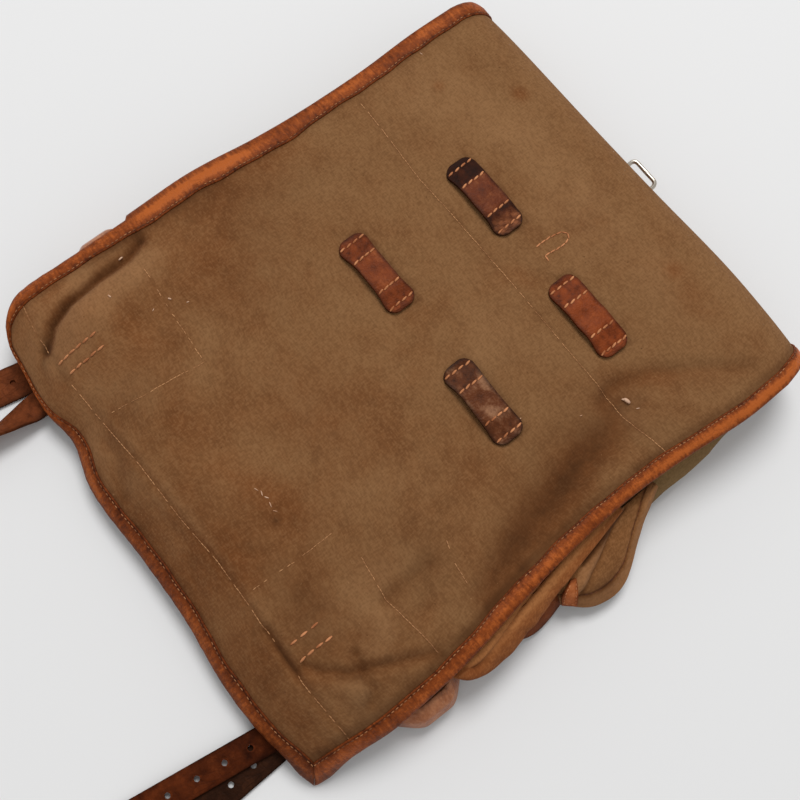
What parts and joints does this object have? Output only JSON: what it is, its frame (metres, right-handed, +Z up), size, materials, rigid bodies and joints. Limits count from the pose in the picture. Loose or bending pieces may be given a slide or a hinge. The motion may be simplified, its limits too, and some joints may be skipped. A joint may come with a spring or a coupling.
{
  "type": "military rucksack",
  "caption": "Old canvas army rucksack lying empty on its back, with a folded-over lid edged in stitched leather, leather strap loops, a wire ring and leather strap tails.",
  "frame": {"origin": "centre of the bounding box's base, on the surface that the pack lies on", "axes": "+X towards the right side as the picture shows it, +Y from the strap tails towards the ring at the lid's fold, +Z up from the back panel towards the lid"},
  "size_m": [0.4166, 0.5714, 0.0644],
  "materials": {
    "body_canvas": "matte",
    "flap_canvas": "matte",
    "side_canvas": "matte",
    "binding_leather": "worn",
    "loop_leather": "worn",
    "strap_leather": "worn",
    "ring_steel": "satin"
  },
  "bodies": {
    "root": {"canvas_body": "body_canvas", "flap": "flap_canvas", "binding_left_bottom": "binding_leather", "binding_right": "binding_leather", "front_loop_upper_left": "loop_leather", "front_loop_lower_left": "loop_leather", "front_loop_upper_right": "loop_leather", "front_loop_lower_right": "loop_leather", "side_loop_left": "loop_leather", "side_loop_right": "loop_leather", "side_flap_right": "side_canvas", "side_ear_right": "side_canvas", "ear_patch": "binding_leather", "side_strap_right": "strap_leather", "closure_strap_left": "strap_leather", "closure_strap_right": "strap_leather", "shoulder_strap_left": "strap_leather", "shoulder_strap_right": "strap_leather", "ring_tab": "strap_leather", "top_ring": "ring_steel"}
  },
  "joints": []
}
